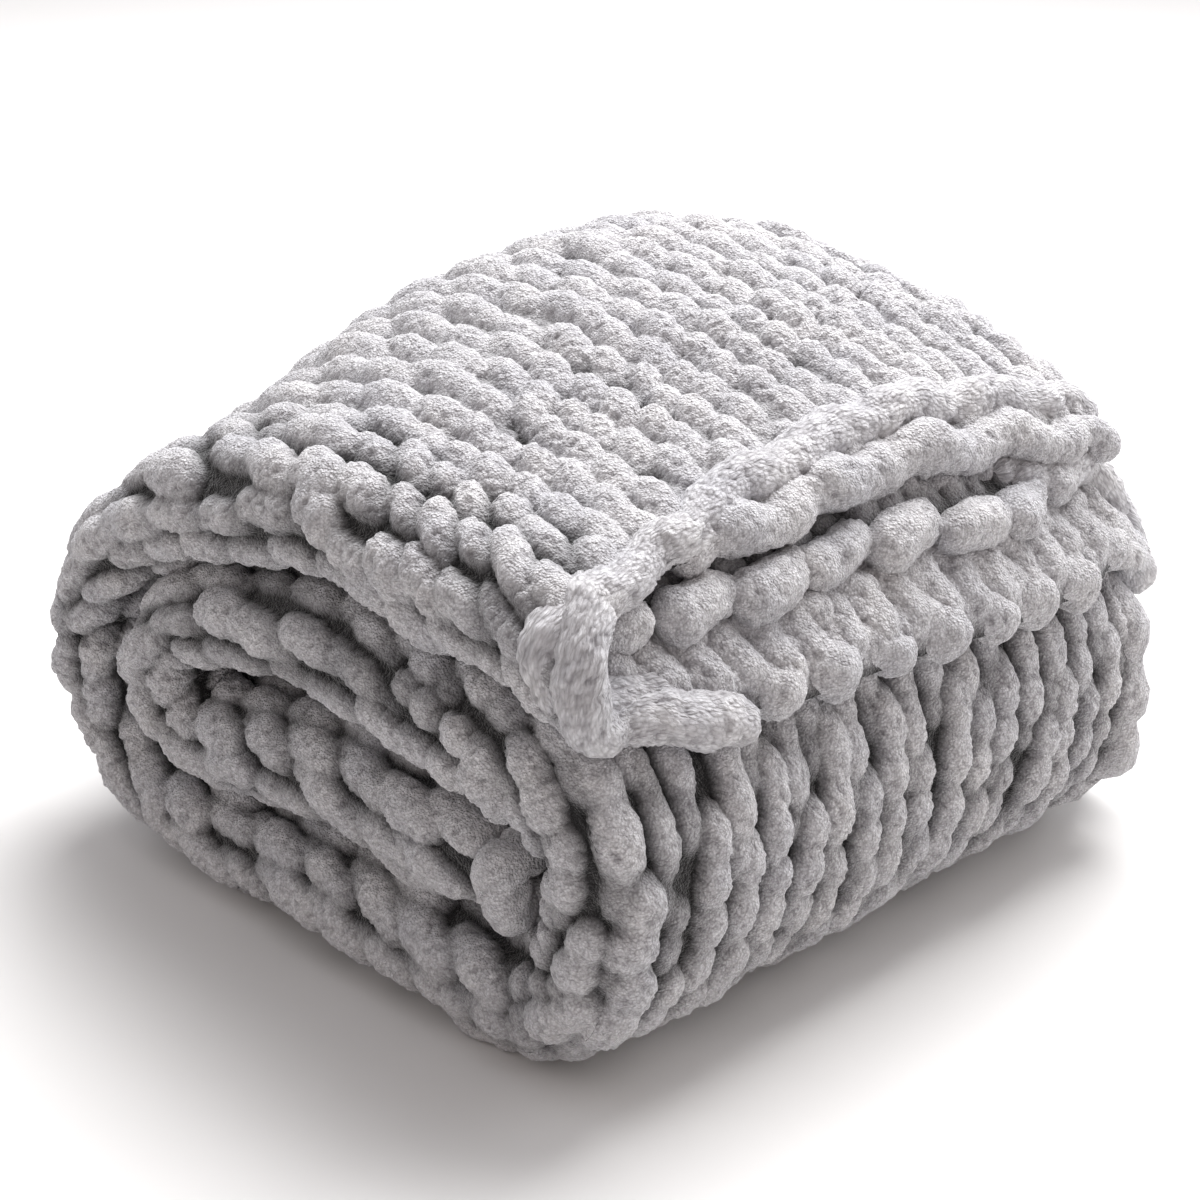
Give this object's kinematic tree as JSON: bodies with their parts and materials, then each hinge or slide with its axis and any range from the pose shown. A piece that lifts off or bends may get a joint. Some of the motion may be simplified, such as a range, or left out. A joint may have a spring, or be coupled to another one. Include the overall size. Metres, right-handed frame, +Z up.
{
  "type": "folded chunky knit blanket",
  "caption": "Thick knitted throw blanket, folded lengthwise in three and rolled over itself into a low domed bundle.",
  "frame": {"origin": "on the floor, under the middle of the bounding box", "axes": "+X from the round left-hand folds to the ribbed right-hand fold, +Y from the near side, where the layers wrap round, to the far side, +Z up"},
  "size_m": [0.5318, 0.5038, 0.3487],
  "materials": {
    "chenille_yarn": "matt, soft fuzzy chenille pile"
  },
  "bodies": {
    "root": {"blanket": "chenille_yarn"}
  },
  "joints": []
}
